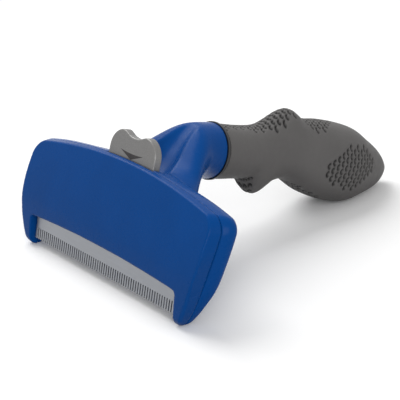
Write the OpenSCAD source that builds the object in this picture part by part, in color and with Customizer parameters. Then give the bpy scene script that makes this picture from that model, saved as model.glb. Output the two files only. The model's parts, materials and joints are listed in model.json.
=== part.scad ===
// Deshedding tool: a wide comb blade in a two-part head, a push-down hair ejector with its springs, and a
// rubber-covered handle on a swept neck.
//
// Everything is drawn in the tool's own working frame: X across the blade, Y back along the handle and Z up
// the blade, with the middle of the tooth tips at the origin. The last module, at_rest(), then lays the whole
// tool down as it stands on a table, on its two skin guards and the belly of its grip.

/* [Blade] */
// Width of the comb blade
blade_w = 101.6; // [95:0.1:104]
// Full height of the blade, with the part that is hidden in the head
blade_h = 19; // [18:0.5:20]
// Thickness of the blade above its ground face
blade_t = 1.6; // [1.2:0.1:1.8]
// Thickness of the teeth at their tips
tip_t = 0.5; // [0.3:0.1:0.8]
// Height to which the front face is ground to a taper
grind_h = 10.7; // [8:0.1:11]
// Distance from one tooth to the next
tooth_pitch = 1.6; // [1.2:0.1:2.4]
// Width of the gap between two teeth
tooth_gap = 0.7; // [0.4:0.1:0.9]
// Length of the teeth
tooth_h = 5; // [3:0.5:6]

/* [Head] */
// Full width of the head at its seam, near the top corners
head_w = 129; // [124:1:155]
// Height of the top edge's middle above the tooth tips
head_h = 50; // [48:1:56]
// How far the top edge's middle stands above its corners
crown = 6; // [3:0.5:8]
// Radius of the top corners
corner_r = 6; // [5:0.5:10]
// How much narrower each side is at the foot of the head
foot_taper = 7.5; // [4:0.1:8]
// How much narrower each side is just above its skin guard
low_taper = 4.4; // [3:0.1:5]
// How much narrower each side is at half height
mid_taper = 1.9; // [1:0.1:3]
// Width of the window that shows the blade
window_w = 105; // [104.5:0.5:107]
// Height of the window's top edge above the tooth tips, at its sides
window_h = 10.2; // [9:0.1:10.5]
// How far the window's top edge rises in its middle
window_crown = 1.9; // [0:0.1:2.2]
// Distance from the tooth tips to the seam plane, back along the handle
seam_y = 3.2; // [3:0.1:3.6]
// Depth of the rear shell behind the seam
rear_depth = 7.8; // [7.4:0.1:10]
// How far the rear shell bulges past the seam at each side
rear_bulge = 2; // [1:0.1:3]
// Slope of the front face, from the blade's own plane
face_lean = 5; // [3:0.5:8]
// How far the front face stands before the tooth tips at its nose
nose_y = 4.4; // [4.2:0.1:5]
// Height of the nose above the tooth tips
nose_h = 12; // [11:0.5:13]
// Width of the bevel between the front face and the seam
bevel = 2; // [1:0.1:3]
// Wall of the front shell
front_wall = 1.8; // [1.6:0.1:2]
// Wall of the rear shell
rear_wall = 2; // [1.6:0.1:2.4]
// Radius of the two skin guards in side view
guard_r = 4.4; // [4:0.1:4.8]

/* [Ejector] */
// Travel of the button and its plate
travel = 9; // [6:0.5:9.5]
// Thickness of the ejector plate
plate_t = 1.5; // [1:0.1:1.6]
// Running gap between the blade and the plate
plate_gap = 0.4; // [0.3:0.05:0.5]
// Width of the button
button_w = 31.4; // [26:0.2:34]
// Thickness of the button
button_t = 3.7; // [3:0.1:3.9]
// How far the button's two lobes stand above the head's top edge
button_rise = 11.2; // [10:0.2:14]
// Depth of the dip between the lobes
button_dip = 2.2; // [1:0.1:3]
// Running gap around the button where it passes the head's top
button_gap = 0.35; // [0.3:0.05:0.5]
// Diameter of the two guide pins
pin_d = 2; // [1.6:0.1:2.4]
// Radial running clearance of the pins in the button's ears
pin_clearance = 0.08; // [0.05:0.01:0.1]
// Wire of the return springs
spring_wire = 0.5; // [0.4:0.05:0.6]
// Mean diameter of the return springs
spring_d = 3.8; // [3.6:0.1:4.2]
// Turns of each return spring
spring_turns = 8; // [6:1:10]

/* [Handle] */
// Height of the handle's axis above the tooth tips
axis_h = 56.4; // [52:0.2:60]
// Distance from the tooth tips to the ring, back along the handle
ring_y = 45.7; // [42:0.1:52]
// Diameter of the ring
ring_d = 25.8; // [24:0.2:28]
// Thickness of the ring
ring_t = 1.2; // [0.8:0.1:2]
// Length of the grip behind the ring
grip_l = 114; // [105:0.2:130]
// Diameter of the grip where it meets the ring
grip_d = 24.8; // [24:0.2:27]
// Height of the thumb bump's peak above the axis
thumb_h = 22.4; // [19:0.5:24]
// Depth of the finger bump's peak under the axis
finger_h = 17.9; // [15:0.5:19]
// Depth of the waist behind the finger bump, under the axis
waist_h = 10.2; // [10:0.2:12]
// Depth and height of the palm swell about the axis
palm_h = 19; // [17:0.5:21]
// Half-width of the palm swell
palm_w = 17; // [15:0.5:19]
// Thinnest rubber over the core at the ring
rubber_t = 2.4; // [2:0.1:3]

/* [Hidden] */
far = 200;

// Colours
blue = [0.07, 0.28, 0.55];
steel = [0.72, 0.72, 0.74];
button_grey = [0.60, 0.60, 0.60];
rubber_grey = [0.34, 0.33, 0.32];
black = [0.05, 0.05, 0.06];
core_grey = [0.25, 0.25, 0.27];

// Blade plane
blade_back = tip_t;
blade_front = blade_back - blade_t;
teeth = floor((blade_w - tooth_gap) / tooth_pitch);
screw_r = 1;
screw_head_r = 1.9;
screw_head_h = 1.1;
blade_screw_h = blade_h - 3.4;
blade_screw_x = [blade_w * 0.15, blade_w * 0.415];
post_r = 2;

// Head outline at the seam, as discs that a hull joins: [x, height, radius]
half_w = head_w / 2;
corner_h = head_h - crown;
guard_h = 0.9;
guard_y = 2.2;
guard_tip_r = 3.2;
foot_x = half_w - foot_taper - guard_tip_r;
mid_disc_r = 8;
low_disc_r = 6;
nose_disc_r = 4;
nose_x = half_w - low_taper - nose_disc_r;
outline_discs = [
    [half_w - corner_r, corner_h - corner_r, corner_r],
    [half_w - mid_taper - mid_disc_r, 24, mid_disc_r],
    [half_w - low_taper - low_disc_r, 10, low_disc_r],
    [foot_x, 0.3, guard_tip_r]];
arch_run = half_w - corner_r;
arch_r = (arch_run * arch_run + crown * crown) / (2 * crown);
arch_disc_r = 4;

// Ejector
plate_y = blade_back + plate_gap;
plate_foot = window_h + 0.5;
plate_w = blade_w - 0.6;
slot_side_gap = 0.3;
recess_gap = 0.6;
slot_w = 2 * (post_r + slot_side_gap);
slot_foot = blade_screw_h - post_r - slot_side_gap;
slot_top = blade_screw_h + travel + post_r + slot_side_gap;
plate_top = slot_top + 2;
stem_y = plate_y + plate_t;
stem_w = 18;
button_y = seam_y + button_gap;
button_top = head_h + button_rise;
ear_foot = head_h - 12;
ear_h = 3;
ear_x = button_w / 2 + 3.4;
ear_r = 2.6;
pin_block_r = 3;
pin_y = button_y + button_t / 2 + 0.6;
ear_top_gap = 0.3;
ledge_top = ear_foot - travel - spring_turns * spring_wire - 4.5;
ledge_h = 3.5;
stop_h = 3.4;
pin_foot = ledge_top - 2.5;
pin_top = ear_foot + ear_h + ear_top_gap + 2.5;
spring_end_gap = 0.05;
button_screw_x = 5;

// Rear shell
rear_y = seam_y + rear_depth;
rear_inner_y = rear_y - rear_wall;
bulge_y = seam_y + 0.62 * rear_depth;
// how much the rear face is smaller than the outline at the seam, and how far the bulge stands above it
rear_side_inset = 4;
rear_top_inset = 5;
rear_foot_x = half_w - 14;
bulge_top = 0.5;
rear_foot = window_h - 2.4;
shell_screws_at = [[half_w - 7.4, 22], [half_w - 19, plate_top + 4.1]];
shell_boss_r = 2.9;
shell_screw_head_r = 2.3;
shell_screw_head_h = 1.4;
screw_seat_y = rear_y - shell_screw_head_h - 0.6;
cavity_foot = window_h + 2.8;
cavity_slope = 2;
rear_cavity_foot = cavity_foot + cavity_slope;
stem_foot = rear_cavity_foot + travel;
button_screw_h = (stem_foot + plate_top) / 2;

// Neck and handle
neck_core_r = 8;
neck_foot_h = 33;
spigot_r = 6.4;
spigot_l = 13;
flange_r = 8.2;
flange_t = 3;
spigot_end = ring_y + ring_t + spigot_l;
key_h = 0.8;
spigot_gap = 0.1;
key_w = 3;
grip_y = ring_y + ring_t;
end_y = grip_y + grip_l;
core_r = grip_d / 2 - rubber_t;
core_waist_r = waist_h - 2.2;
core_palm_r = palm_w - 5;
core_end_y = end_y - 14;
core_bore_r = 4;
core_screw_r = 1.2;
core_screw_head_r = 2.2;
// distance along the handle, and the core's radius there
core_screws_at = [[grip_y + 20, core_r], [grip_y + 44, core_waist_r], [grip_y + 80, core_palm_r]];

// Grip profile: heights above the centre line, depths under it and half-widths, each [distance behind the
// ring, size]. All three close in a round end, and the centre line drops a little towards it.
palm_y = 70;
thumb_line = [[0, grip_d / 2], [16, grip_d / 2 + 0.2], [26, thumb_h - 8], [39.5, thumb_h],
    [50, palm_h - 0.2], [62, palm_h], [palm_y, palm_h - 0.4], [84, palm_h - 2.2],
    [95, palm_h - 6.3], [grip_l, palm_h / 3]];
finger_line = [[0, grip_d / 2], [15.5, grip_d / 2 - 0.9], [20.3, grip_d / 2 - 0.6], [24.3, finger_h - 0.9],
    [28.6, finger_h], [34.9, waist_h + 2], [43, waist_h], [60, palm_h - 2.4], [palm_y + 2, palm_h - 0.2],
    [83, palm_h - 0.6], [95, palm_h - 5], [grip_l, palm_h / 3]];
side_line = [[0, grip_d / 2], [16, grip_d / 2 - 0.2], [31, grip_d / 2 - 1], [42, grip_d / 2],
    [54, palm_w - 2.6], [palm_y - 3, palm_w], [80, palm_w], [92, palm_w - 3], [103, palm_w - 6.5],
    [grip_l, palm_w - 10]];
end_l = 14;
end_drop = 2;
// how square the section is: 2 is an ellipse
thumb_square = 2;
palm_square = 2.6;
grip_steps = 44;
grip_sides = 28;

// Slope of a smooth curve at point i of a list
function slope(p, i) =
    let (a = max(i - 1, 0), b = min(i + 1, len(p) - 1))
    i == 0 || i == len(p) - 1 ? 0 : (p[b][1] - p[a][1]) / (p[b][0] - p[a][0]);
// Smooth curve through a list of points, at distance d
function curve(p, d, i = 0) =
    d >= p[len(p) - 1][0] ? p[len(p) - 1][1] :
    d > p[i + 1][0] ? curve(p, d, i + 1) :
    let (w = p[i + 1][0] - p[i][0], t = (d - p[i][0]) / w)
    p[i][1] * (2 * t * t * t - 3 * t * t + 1) + p[i + 1][1] * (3 * t * t - 2 * t * t * t)
    + w * slope(p, i) * (t * t * t - 2 * t * t + t) + w * slope(p, i + 1) * (t * t * t - t * t);
// The same curve, closed in the grip's round end
function grip_size(p, d) =
    let (t = min(1, max(0, (d - grip_l + end_l) / end_l)))
    curve(p, d) * sqrt(1 - t * t);
// Distances of the grip's sections, closer together towards the end
function grip_at(i) = grip_l * sin(90 * pow(i / grip_steps, 0.85));
// One section of the grip
function squared(c, n) = sign(c) * pow(abs(c), 2 / n);
function ease(t) = let (k = min(1, max(0, t))) k * k * (3 - 2 * k);
function under_square(d) = thumb_square + (palm_square - thumb_square) * ease((d - 35) / 25);
function grip_drop(d) = end_drop * pow(max(0, (d - palm_y) / (grip_l - palm_y)), 2);
function grip_section(d) = [for (k = [0 : grip_sides - 1])
    let (a = 360 * k / grip_sides, n = sin(a) > 0 ? thumb_square : under_square(d))
    [grip_size(side_line, d) * squared(cos(a), n), grip_y + d,
        axis_h - grip_drop(d) + squared(sin(a), n) * grip_size(sin(a) > 0 ? thumb_line : finger_line, d)]];

// How the tool lies: the ground touches both skin guards and the lowest point of the grip
guard_flat = 0.15;
ground_r = guard_r - guard_flat;
function lean_at(y, z) =
    atan2(z - guard_h, y - guard_y) + asin(ground_r / norm([y - guard_y, z - guard_h]));
rest_lean = min([for (i = [1 : grip_steps - 1])
    lean_at(grip_y + grip_at(i), axis_h - grip_drop(grip_at(i)) - grip_size(finger_line, grip_at(i)))]);
rest_lift = ground_r + guard_y * sin(rest_lean) - guard_h * cos(rest_lean);
rest_front = guard_y * cos(rest_lean) + guard_h * sin(rest_lean) - guard_r;
rest_back = end_y * cos(rest_lean) + (axis_h - end_drop) * sin(rest_lean);

// Lay the tool down, with the origin under the middle of its box
module at_rest() {
    translate([0, -(rest_front + rest_back) / 2, rest_lift])
        rotate([-rest_lean, 0, 0])
            children();
}

// A child at x and its mirror image at -x
module both_sides() {
    children();
    mirror([1, 0, 0]) children();
}

// A rod along Y from y0 to y1 at x, z
module rod_y(x, z, r, y0, y1, r_end = -1) {
    translate([x, y0, z])
        rotate([-90, 0, 0])
            cylinder(h = y1 - y0, r1 = r, r2 = r_end < 0 ? r : r_end, $fn = 32);
}

// The height of the top edge at x
function arch_h(x) = head_h - arch_r + sqrt(arch_r * arch_r - x * x);

// Thin discs round the head's outline at depth y, grown by side and top
module outline_ring(y, side, top, from_h = -10) {
    for (d = outline_discs)
        if (d[1] > from_h)
            both_sides() rod_y(d[0] + (d[1] > 30 ? 0 : side), d[1] + (d[1] > 30 ? top - side : 0),
                d[2] + (d[1] > 30 ? side : 0), y, y + 0.1);
    for (x = [0, arch_run * 0.45, arch_run * 0.8])
        both_sides() rod_y(x, arch_h(x) + top - arch_disc_r, arch_disc_r, y, y + 0.1);
}

// The same discs laid in the plane of the front face, set back by a distance
module face_ring(back, side, top) {
    translate([0, back - nose_y, nose_h])
        rotate([-face_lean, 0, 0])
            translate([0, 0, -nose_h]) {
                outline_ring(0, side, top, 20);
                both_sides()
                    rod_y(half_w - mid_taper - low_disc_r + side, nose_h + low_disc_r, low_disc_r, 0, 0.1);
            }
}

// The rounded foot of each skin guard
module guard_foot() {
    both_sides() {
        translate([foot_x - 3, guard_y, guard_h])
            rotate([0, 90, 0])
                cylinder(h = 3.4, r = guard_r, $fn = 32);
        translate([foot_x, guard_y, guard_h + 0.8])
            rotate([0, 90, 0])
                cylinder(h = guard_tip_r, r = guard_r - 1.8, $fn = 32);
    }
}

// Everything in front of a depth, or behind it
module before(y) {
    translate([-far, y - far, -far]) cube([2 * far, far, 2 * far]);
}
module behind(y) {
    translate([-far, y, -far]) cube([2 * far, far, 2 * far]);
}
// Everything under the ground on which the guards stand
module under_guards() {
    translate([0, guard_y, guard_h])
        rotate([rest_lean, 0, 0])
            translate([-far, -far, -far - ground_r]) cube([2 * far, 2 * far, far]);
}

// The window between the guards, up to a height at its sides and by rise higher in its middle
module window(top, round_r, rise) {
    hull() {
        both_sides() rod_y(window_w / 2 - round_r, top - round_r, round_r, -far / 4, far / 4);
        if (rise > 0) {
            both_sides() rod_y(window_w / 4, top + 0.75 * rise - round_r, round_r, -far / 4, far / 4);
            rod_y(0, top + rise - round_r, round_r, -far / 4, far / 4);
        }
        translate([-window_w / 2, -far / 4, -far / 4]) cube([window_w, far / 2, far / 8]);
    }
}

// Walls beside and above the hollow at the seam
side_wall = 6;
top_wall = 4;
// How much smaller the rear shell's hollow is at its rear wall
hollow_side_draft = 5;
hollow_top_draft = 3;
// Half-width and height of the hollow at the seam: near its corners, and halfway to the middle
hollow_steps = [[half_w - side_wall, corner_h - top_wall], [half_w / 2, head_h - top_wall]];

module front_shell() {
    color(blue)
    difference() {
        union() {
            difference() {
                intersection() {
                    hull() {
                        face_ring(0, -bevel, -0.5);
                        outline_ring(seam_y, 0, 0);
                        guard_foot();
                        both_sides()
                            rod_y(nose_x, nose_h, nose_disc_r, -nose_y, 0.1 - nose_y);
                    }
                    before(seam_y);
                }
                front_hollow();
            }
            for (p = shell_screws_at)
                both_sides() rod_y(p[0], p[1], shell_boss_r, face_y(p[1]) + front_wall / 2, seam_y);
        }
        window(window_h, 2, window_crown);
        under_guards();
        shell_screw_holes(screw_r);
    }
}

// The hollow behind the front wall
module front_hollow() {
    hull() {
        intersection() {
            face_ring(front_wall, -bevel - front_wall, -top_wall - bevel);
            translate([-far, -far, cavity_foot]) cube([2 * far, 2 * far, far]);
        }
        translate([low_taper + front_wall - half_w, front_wall - nose_y, cavity_foot])
            cube([2 * (half_w - low_taper - front_wall), 0.1, 1]);
        for (w = hollow_steps)
            translate([-w[0], seam_y, cavity_foot]) cube([2 * w[0], 1, w[1] - cavity_foot]);
    }
    // recesses for the top of the blade and for the plate
    translate([-plate_w / 2 - recess_gap, blade_front - 0.2, 0])
        cube([plate_w + 2 * recess_gap, far, blade_h + 0.4]);
    translate([-plate_w / 2 - recess_gap, plate_y - plate_gap + 0.1, 0])
        cube([plate_w + 2 * recess_gap, far, plate_top + recess_gap]);
}

// Depth of the outer front face at a height
function face_y(z) = -nose_y + (z - nose_h) * tan(face_lean);

// Holes for the shell screws, blind in the front shell
module shell_screw_holes(r) {
    for (p = shell_screws_at)
        both_sides() rod_y(p[0], p[1], r, face_y(p[1]) + front_wall + 0.2, rear_y + 1);
}

// One elliptical section of the neck
module neck_section(p) {
    translate([0, p[0], p[1]])
        rotate([p[2], 0, 0])
            scale([p[3], 1, p[4]])
                rotate([-90, 0, 0])
                    cylinder(h = 0.1, r = 1, $fn = 40);
}

// The neck's sections from the head up to the ring: [y, height, tilt, half-width, half-height]
neck_path = [[rear_y - 1.2, neck_foot_h, 0, 31, 14], [21.5, 41.5, 32, 21, 12.3], [29.2, 49.1, 26.4, 15, 12.9],
    [37, axis_h - 0.2, 13, 13.2, 13.4]];

module neck() {
    for (i = [0 : 2])
        hull() {
            neck_section(neck_path[i]);
            neck_section(neck_path[i + 1]);
        }
    hull() {
        neck_section(neck_path[3]);
        rod_y(0, axis_h, grip_d / 2, ring_y - 1, ring_y);
    }
}

// The hollow that lightens the neck, open to the head's own hollow
module neck_core() {
    translate([0, rear_inner_y - 2, neck_foot_h])
        rotate([-53, 0, 0])
            cylinder(h = 28, r = neck_core_r, $fn = 48);
}

// Bosses that seat the shell screws
module rear_screw_bosses() {
    for (p = shell_screws_at)
        both_sides() difference() {
            rod_y(p[0], p[1], shell_boss_r, seam_y, rear_y - 0.2);
            rod_y(p[0], p[1], screw_r + 0.2, 0, rear_y + 1);
            rod_y(p[0], p[1], shell_screw_head_r + 0.15, screw_seat_y, rear_y + 1);
        }
}

// Posts that the blade is screwed to
module blade_posts() {
    for (x = blade_screw_x)
        both_sides() difference() {
            rod_y(x, blade_screw_h, post_r, blade_back, rear_inner_y + 0.6);
            rod_y(x, blade_screw_h, screw_r, blade_front, blade_back + 6.5);
        }
}

// A block from the rear wall at one guide pin, from a height up
module pin_block(z, h) {
    translate([ear_x - pin_block_r, seam_y + button_gap, z])
        cube([2 * pin_block_r, rear_inner_y + 0.6 - seam_y - button_gap, h]);
}

// Ledges under the springs and stops over the button's ears, both bored for the guide pins
module pin_ledges() {
    both_sides() difference() {
        union() {
            pin_block(ledge_top - ledge_h, ledge_h);
            pin_block(ear_foot + ear_h + ear_top_gap, stop_h);
        }
        translate([ear_x, pin_y, pin_foot]) cylinder(h = pin_top - pin_foot, d = pin_d, $fn = 32);
    }
}

// The spigot that the two handle cores close round
module neck_spigot(gap = 0) {
    rod_y(0, axis_h, spigot_r + gap, ring_y - 1, spigot_end + gap);
    rod_y(0, axis_h, flange_r + gap, spigot_end - flange_t - gap, spigot_end + gap);
    translate([-key_w / 2 - gap, spigot_end - flange_t - gap, axis_h - flange_r - key_h - gap])
        cube([key_w + 2 * gap, flange_t + 2 * gap, flange_r + key_h]);
}

module rear_shell() {
    color(blue) {
        difference() {
            union() {
                intersection() {
                    hull() {
                        outline_ring(seam_y, 0, 0);
                        outline_ring(bulge_y, rear_bulge, bulge_top, 9);
                        outline_ring(rear_y - 0.1, -rear_side_inset, -rear_top_inset, 20);
                        both_sides()
                            rod_y(rear_foot_x, 22, low_disc_r, rear_y - 0.1, rear_y);
                        guard_foot();
                    }
                    behind(seam_y);
                }
                neck();
            }
            // the hollow before the rear wall
            hull() {
                for (w = hollow_steps) {
                    translate([-w[0], seam_y - 1, cavity_foot]) cube([2 * w[0], 1, w[1] - cavity_foot]);
                    translate([hollow_side_draft - w[0], rear_inner_y - 1, rear_cavity_foot])
                        cube([2 * (w[0] - hollow_side_draft), 1, w[1] - rear_cavity_foot - hollow_top_draft]);
                }
            }
            window(rear_foot, 2, 0);
            under_guards();
            // the mouth that the button passes
            translate([-button_w / 2 - button_gap, seam_y - 1, corner_h - 6])
                cube([button_w + 2 * button_gap, 1 + button_t + 2 * button_gap, far]);
            shell_screw_holes(shell_boss_r - 0.4);
            neck_core();
        }
        rear_screw_bosses();
        blade_posts();
        pin_ledges();
        neck_spigot();
    }
}

// Outline of the comb, in X and height
comb_left = -(teeth * tooth_pitch - tooth_gap) / 2;
comb_points = concat(
    [for (i = [0 : teeth - 2]) for (k = [0 : 3])
        let (x = comb_left + i * tooth_pitch + (k < 2 ? tooth_pitch - tooth_gap : tooth_pitch))
        [x, k == 0 || k == 3 ? 0 : tooth_h]],
    [[blade_w / 2, 0], [blade_w / 2, blade_h - 1], [blade_w / 2 - 1, blade_h],
        [1 - blade_w / 2, blade_h], [-blade_w / 2, blade_h - 1], [-blade_w / 2, 0]]);

// A child at each blade screw, taken at the origin
module at_blade_screws() {
    for (x = blade_screw_x)
        both_sides() translate([x, 0, blade_screw_h]) children();
}

// A countersunk screw along +Y, its head flush at the origin
module countersunk(r, head_r, head_h, l) {
    rod_y(0, 0, head_r, 0, head_h, r);
    rod_y(0, 0, r, 0, l);
}

module blade() {
    color(steel)
    difference() {
        translate([0, blade_back, 0])
            rotate([90, 0, 0])
                linear_extrude(height = blade_t)
                    polygon(comb_points);
        // the ground front face
        translate([0, blade_front, grind_h])
            rotate([atan((blade_t - tip_t) / grind_h), 0, 0])
                translate([-far, -far, -far]) cube([2 * far, far, far]);
        translate([0, blade_front, 0])
            at_blade_screws() {
                rod_y(0, 0, screw_head_r + 0.05, -1, 0);
                rod_y(0, 0, screw_head_r + 0.05, 0, screw_head_h, screw_r + 0.05);
                rod_y(0, 0, screw_r + 0.05, 0, blade_t + 1);
            }
    }
}

module blade_screws() {
    color(steel)
    difference() {
        translate([0, blade_front, 0])
            at_blade_screws() countersunk(screw_r, screw_head_r, screw_head_h, 7);
        translate([0, blade_front - 0.1, 0])
            at_blade_screws() rotate([-90, 0, 0]) cylinder(h = 0.7, r = 0.8, $fn = 6);
    }
}

module shell_screws() {
    color(steel)
    for (p = shell_screws_at)
        both_sides() difference() {
            union() {
                rod_y(p[0], p[1], shell_screw_head_r, screw_seat_y, screw_seat_y + shell_screw_head_h);
                rod_y(p[0], p[1], screw_r, face_y(p[1]) + front_wall + 0.4, screw_seat_y + 0.5);
            }
            translate([p[0], screw_seat_y + shell_screw_head_h - 0.8, p[1]])
                rotate([-90, 0, 0]) cylinder(h = 1, r = 1.1, $fn = 6);
        }
}

module ejector_plate() {
    color(core_grey)
    difference() {
        translate([-plate_w / 2, plate_y, plate_foot])
            cube([plate_w, plate_t, plate_top - plate_foot]);
        at_blade_screws()
            translate([-slot_w / 2, 0, slot_foot - blade_screw_h])
                cube([slot_w, far / 4, slot_top - slot_foot]);
        both_sides() translate([button_screw_x, plate_y, button_screw_h]) {
            rod_y(0, 0, screw_head_r + 0.05, -1, 0);
            rod_y(0, 0, screw_head_r + 0.05, 0, screw_head_h, screw_r + 0.05);
            rod_y(0, 0, screw_r + 0.05, 0, plate_t + 1);
        }
    }
}

// Outline of the button's top: two lobes with a dip between them
module button_outline() {
    lobe_r = button_w * 0.27;
    lobe_x = button_w * 0.23;
    dip_r = button_w * 0.3;
    dip_h = button_top - button_dip;
    difference() {
        union() {
            both_sides() translate([lobe_x, button_top - lobe_r]) circle(r = lobe_r, $fn = 48);
            translate([-button_w / 2, head_h - 8]) square([button_w, button_rise - lobe_r + 7]);
            translate([-lobe_x, head_h]) square([2 * lobe_x, button_rise - 0.8]);
        }
        translate([0, dip_h + dip_r]) circle(r = dip_r, $fn = 48);
    }
}

module ejector_button() {
    color(button_grey)
    difference() {
        union() {
            translate([0, button_y + button_t, 0])
                rotate([90, 0, 0])
                    linear_extrude(height = button_t)
                        button_outline();
            // the stem, with its foot stepped forward to the plate
            translate([-stem_w / 2, button_y, ear_foot]) cube([stem_w, button_t, head_h - ear_foot - 6]);
            translate([-stem_w / 2, stem_y, stem_foot])
                cube([stem_w, button_y + button_t - stem_y, ear_foot - stem_foot]);
            // ears that ride on the guide pins
            translate([-ear_x - ear_r, button_y, ear_foot])
                cube([2 * (ear_x + ear_r), button_t, ear_h]);
            both_sides() translate([ear_x, pin_y, ear_foot]) cylinder(h = ear_h, r = ear_r, $fn = 32);
        }
        both_sides() {
            translate([ear_x, pin_y, ear_foot - 1])
                cylinder(h = ear_h + 2, r = pin_d / 2 + pin_clearance, $fn = 32);
            rod_y(button_screw_x, button_screw_h, screw_r, stem_y - 1, stem_y + 3);
        }
    }
}

module button_screws() {
    color(steel)
    both_sides() translate([button_screw_x, plate_y, button_screw_h])
        difference() {
            countersunk(screw_r, screw_head_r, screw_head_h, plate_t + 2.8);
            translate([0, -0.1, 0]) rotate([-90, 0, 0]) cylinder(h = 0.7, r = 0.8, $fn = 6);
        }
}

// A coil spring round the pin at x, between the ledge and the ear: rings of points along a helix
module coil_spring(x) {
    sides = 8;
    steps = spring_turns * 20;
    run = ear_foot - ledge_top - spring_wire - 2 * spring_end_gap;
    points = [for (i = [0 : steps]) for (k = [0 : sides - 1])
        let (a = 360 * i * spring_turns / steps, b = 360 * k / sides)
        let (r = (spring_d + spring_wire * cos(b)) / 2)
        [r * cos(a), r * sin(a), run * i / steps + spring_wire / 2 * sin(b)]];
    walls = [for (i = [0 : steps - 1]) for (k = [0 : sides - 1])
        let (n = (k + 1) % sides)
        [i * sides + k, i * sides + n, (i + 1) * sides + n, (i + 1) * sides + k]];
    ends = [[for (k = [sides - 1 : -1 : 0]) k], [for (k = [0 : sides - 1]) steps * sides + k]];
    translate([x, pin_y, ledge_top + spring_wire / 2 + spring_end_gap])
        polyhedron(points = points, faces = concat(walls, ends));
}

module return_spring_left() {
    color(steel) coil_spring(-ear_x);
}

module return_spring_right() {
    color(steel) coil_spring(ear_x);
}

module guide_pin(x) {
    color(steel)
    translate([x, pin_y, pin_foot]) cylinder(h = pin_top - pin_foot, d = pin_d, $fn = 32);
}

module guide_pin_left() {
    guide_pin(-ear_x);
}

module guide_pin_right() {
    guide_pin(ear_x);
}

module neck_ring() {
    color(black)
    difference() {
        rod_y(0, axis_h, ring_d / 2, ring_y, ring_y + ring_t);
        rod_y(0, axis_h, spigot_r, ring_y - 1, ring_y + ring_t + 1);
    }
}

// The turned outline of the two cores together: [distance along the handle, radius]
core_profile = [[grip_y, core_r], [grip_y + 24, core_r], [grip_y + 38, core_waist_r],
    [grip_y + 50, core_waist_r], [grip_y + 66, core_palm_r], [grip_y + 88, core_palm_r],
    [core_end_y - 6, core_palm_r / 2], [core_end_y, core_palm_r / 3]];

module core_body() {
    translate([0, 0, axis_h])
        rotate([-90, 0, 0])
            rotate_extrude($fn = 48)
                polygon(concat([[0, grip_y]], [for (p = core_profile) [p[1], p[0]]], [[0, core_end_y]]));
}

module core_half(side) {
    color(core_grey)
    difference() {
        core_body();
        neck_spigot(spigot_gap);
        rod_y(0, axis_h, core_bore_r, spigot_end - 1, core_end_y - 12);
        translate([side > 0 ? -far : 0, -far, -far]) cube([far, 2 * far, 2 * far]);
        core_screw_holes(0.05);
    }
}

// Along X at each core screw: a shank with a head at the left end
module core_screw_rods(grow) {
    for (p = core_screws_at)
        translate([0, p[0], axis_h])
            rotate([0, 90, 0]) {
                translate([0, 0, 0.6 - p[1]]) cylinder(h = 2 * p[1] - 2.4, r = core_screw_r + grow, $fn = 32);
                translate([0, 0, 0.3 - p[1]]) cylinder(h = 1.8, r = core_screw_head_r + grow, $fn = 32);
            }
}

module core_screw_holes(grow) {
    core_screw_rods(grow);
    for (p = core_screws_at)
        translate([-far, p[0], axis_h])
            rotate([0, 90, 0])
                cylinder(h = far - p[1] + 0.5, r = core_screw_head_r + grow, $fn = 32);
}

module handle_core_left() {
    core_half(-1);
}

module handle_core_right() {
    core_half(1);
}

module core_screws() {
    color(steel) core_screw_rods(0);
}

module grip() {
    rings = [for (i = [0 : grip_steps - 1]) grip_section(grip_at(i))];
    points = concat([for (r = rings) each r], [[0, end_y, axis_h - end_drop]]);
    last = (grip_steps - 1) * grip_sides;
    walls = [for (i = [0 : grip_steps - 2]) for (k = [0 : grip_sides - 1])
        let (n = (k + 1) % grip_sides)
        [i * grip_sides + k, (i + 1) * grip_sides + k, (i + 1) * grip_sides + n, i * grip_sides + n]];
    cap = [for (k = [0 : grip_sides - 1]) [last + k, grip_steps * grip_sides, last + (k + 1) % grip_sides]];
    mouth = [[for (k = [0 : grip_sides - 1]) k]];
    color(rubber_grey)
    difference() {
        polyhedron(points = points, faces = concat(mouth, walls, cap));
        core_body();
    }
}

at_rest() front_shell();
at_rest() rear_shell();
at_rest() blade();
at_rest() blade_screws();
at_rest() shell_screws();
at_rest() ejector_plate();
at_rest() ejector_button();
at_rest() button_screws();
at_rest() return_spring_left();
at_rest() return_spring_right();
at_rest() guide_pin_left();
at_rest() guide_pin_right();
at_rest() neck_ring();
at_rest() handle_core_left();
at_rest() handle_core_right();
at_rest() core_screws();
at_rest() grip();
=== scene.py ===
"""The looks of a deshedding tool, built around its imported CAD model.

The shapes are drawn in the tool's own frame, in millimetres: X across the blade, U back along the handle and
V up the blade, with the middle of the tooth tips at the origin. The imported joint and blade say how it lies.
Each shell is the zero surface of a distance field, which is negative inside the shell.
"""

import json
import math

import bpy
import numpy as np
from mathutils import Matrix, Vector


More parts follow.
